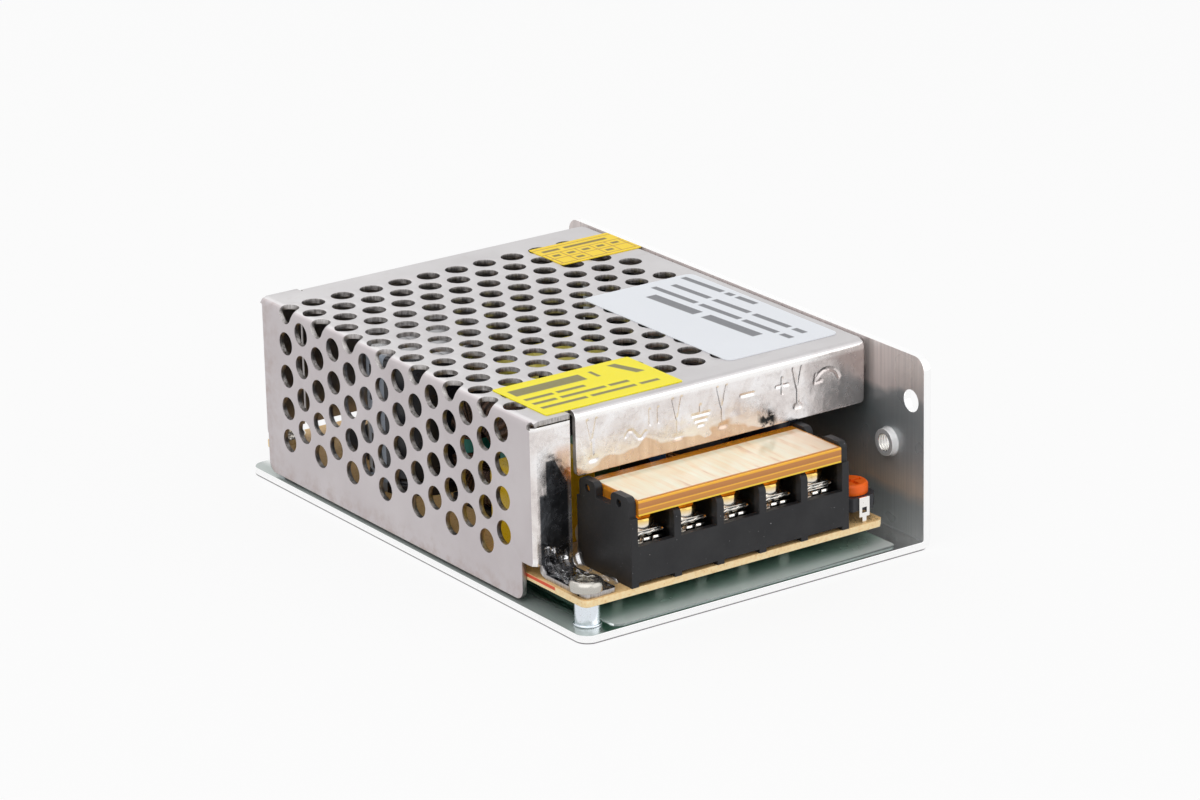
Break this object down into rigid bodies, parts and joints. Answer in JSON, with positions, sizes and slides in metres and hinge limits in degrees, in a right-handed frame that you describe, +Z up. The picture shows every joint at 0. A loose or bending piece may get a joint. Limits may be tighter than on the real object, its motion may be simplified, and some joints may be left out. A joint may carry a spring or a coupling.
{
  "type": "mesh case switching power supply",
  "caption": "Small enclosed switching power supply: aluminium L base, perforated folded steel cover, tan circuit board and a barrier terminal block with a hinged amber cover",
  "frame": {"origin": "middle of the case's flat underside", "axes": "+X towards the solid side wall, -Y towards the terminal end, +Z up"},
  "size_m": [0.0582, 0.085, 0.0278],
  "materials": {
    "aluminium_sheet": "brushed",
    "cover_steel": "satin",
    "nickel": "polished",
    "zinc_plate": "satin",
    "tin_plate": "satin",
    "film": "satin",
    "board_tan": "matte",
    "block_black": "matte",
    "amber_plastic": "gloss",
    "trimmer_black": "matte",
    "trimmer_orange": "satin",
    "box_yellow": "satin",
    "fuse_glass": "gloss",
    "choke_teal": "satin",
    "copper_wire": "gloss",
    "component_black": "matte",
    "disc_green": "satin",
    "disc_blue": "satin",
    "can_sleeve": "gloss",
    "resistor_body": "satin",
    "ferrite": "matte",
    "tape_yellow": "satin",
    "pad_grey": "matte",
    "label_yellow": "satin",
    "label_white": "satin"
  },
  "bodies": {
    "case": {"chassis_base": "aluminium_sheet", "perforated_cover": "cover_steel", "cover_screws": "nickel", "board_pillars": "zinc_plate", "foot_tab_screw": "nickel", "board_screws": "nickel", "insulating_film": "film", "circuit_board": "board_tan", "terminal_block": "block_black", "terminal_contacts": "tin_plate", "trimmer_body": "trimmer_black", "trimmer_leg": "tin_plate", "x_capacitor": "box_yellow", "fuse": "fuse_glass", "line_choke_core": "choke_teal", "line_choke_windings": "copper_wire", "line_choke_base": "component_black", "inrush_thermistor": "disc_green", "bulk_capacitor": "can_sleeve", "output_capacitor_1": "can_sleeve", "output_capacitor_2": "can_sleeve", "supply_capacitor": "can_sleeve", "rectifier_diodes": "component_black", "resistors": "resistor_body", "transformer_core": "ferrite", "transformer_bobbin": "component_black", "transformer_winding": "tape_yellow", "output_choke_core": "ferrite", "output_choke_coil": "copper_wire", "y_capacitor": "disc_blue", "control_chip": "component_black", "optocoupler": "component_black", "voltage_reference": "component_black", "switching_transistor": "component_black", "switching_transistor_pad": "pad_grey", "output_rectifier": "component_black", "output_rectifier_pad": "pad_grey", "wall_screws": "nickel", "front_label": "label_yellow", "rating_label": "label_white", "date_label": "label_yellow"},
    "lid": {"terminal_cover": "amber_plastic"},
    "rotor": {"trimmer_rotor": "trimmer_orange"},
    "clamp_1": {"terminal_clamp_1": "nickel"},
    "clamp_2": {"terminal_clamp_2": "nickel"},
    "clamp_3": {"terminal_clamp_3": "nickel"},
    "clamp_4": {"terminal_clamp_4": "nickel"},
    "clamp_5": {"terminal_clamp_5": "nickel"},
    "screw_1": {"terminal_screw_1": "nickel"},
    "screw_2": {"terminal_screw_2": "nickel"},
    "screw_3": {"terminal_screw_3": "nickel"},
    "screw_4": {"terminal_screw_4": "nickel"},
    "screw_5": {"terminal_screw_5": "nickel"}
  },
  "joints": [
    {"name": "terminal_cover_hinge", "type": "hinge", "parent": "case", "child": "lid", "pos_m": [0, -0.031, 0.01685], "axis": [-1, 0, 0], "range_deg": [0, 72]},
    {"name": "trimmer_turn", "type": "hinge", "parent": "case", "child": "rotor", "pos_m": [0.0193, -0.0373, 0.01], "axis": [0, 0, 1], "range_deg": [-105, 105]},
    {"name": "clamp_slide_1", "type": "slide", "parent": "case", "child": "clamp_1", "axis": [0, 0, 1], "range_m": [-0.00095, 0.00095]},
    {"name": "clamp_slide_2", "type": "slide", "parent": "case", "child": "clamp_2", "axis": [0, 0, 1], "range_m": [-0.00095, 0.00095]},
    {"name": "clamp_slide_3", "type": "slide", "parent": "case", "child": "clamp_3", "axis": [0, 0, 1], "range_m": [-0.00095, 0.00095]},
    {"name": "clamp_slide_4", "type": "slide", "parent": "case", "child": "clamp_4", "axis": [0, 0, 1], "range_m": [-0.00095, 0.00095]},
    {"name": "clamp_slide_5", "type": "slide", "parent": "case", "child": "clamp_5", "axis": [0, 0, 1], "range_m": [-0.00095, 0.00095]},
    {"name": "screw_turn_1", "type": "hinge", "parent": "clamp_1", "child": "screw_1", "pos_m": [-0.01615, -0.0365, 0.012], "axis": [0, 0, 1], "range_deg": [-684, 684]},
    {"name": "screw_turn_2", "type": "hinge", "parent": "clamp_2", "child": "screw_2", "pos_m": [-0.0091, -0.0365, 0.012], "axis": [0, 0, 1], "range_deg": [-684, 684]},
    {"name": "screw_turn_3", "type": "hinge", "parent": "clamp_3", "child": "screw_3", "pos_m": [-0.00205, -0.0365, 0.012], "axis": [0, 0, 1], "range_deg": [-684, 684]},
    {"name": "screw_turn_4", "type": "hinge", "parent": "clamp_4", "child": "screw_4", "pos_m": [0.005, -0.0365, 0.012], "axis": [0, 0, 1], "range_deg": [-684, 684]},
    {"name": "screw_turn_5", "type": "hinge", "parent": "clamp_5", "child": "screw_5", "pos_m": [0.01205, -0.0365, 0.012], "axis": [0, 0, 1], "range_deg": [-684, 684]}
  ],
  "couplings": [
    {"joint": "screw_turn_1", "follows": "clamp_slide_1", "rad_per_m": 12566},
    {"joint": "screw_turn_2", "follows": "clamp_slide_2", "rad_per_m": 12566},
    {"joint": "screw_turn_3", "follows": "clamp_slide_3", "rad_per_m": 12566},
    {"joint": "screw_turn_4", "follows": "clamp_slide_4", "rad_per_m": 12566},
    {"joint": "screw_turn_5", "follows": "clamp_slide_5", "rad_per_m": 12566}
  ]
}
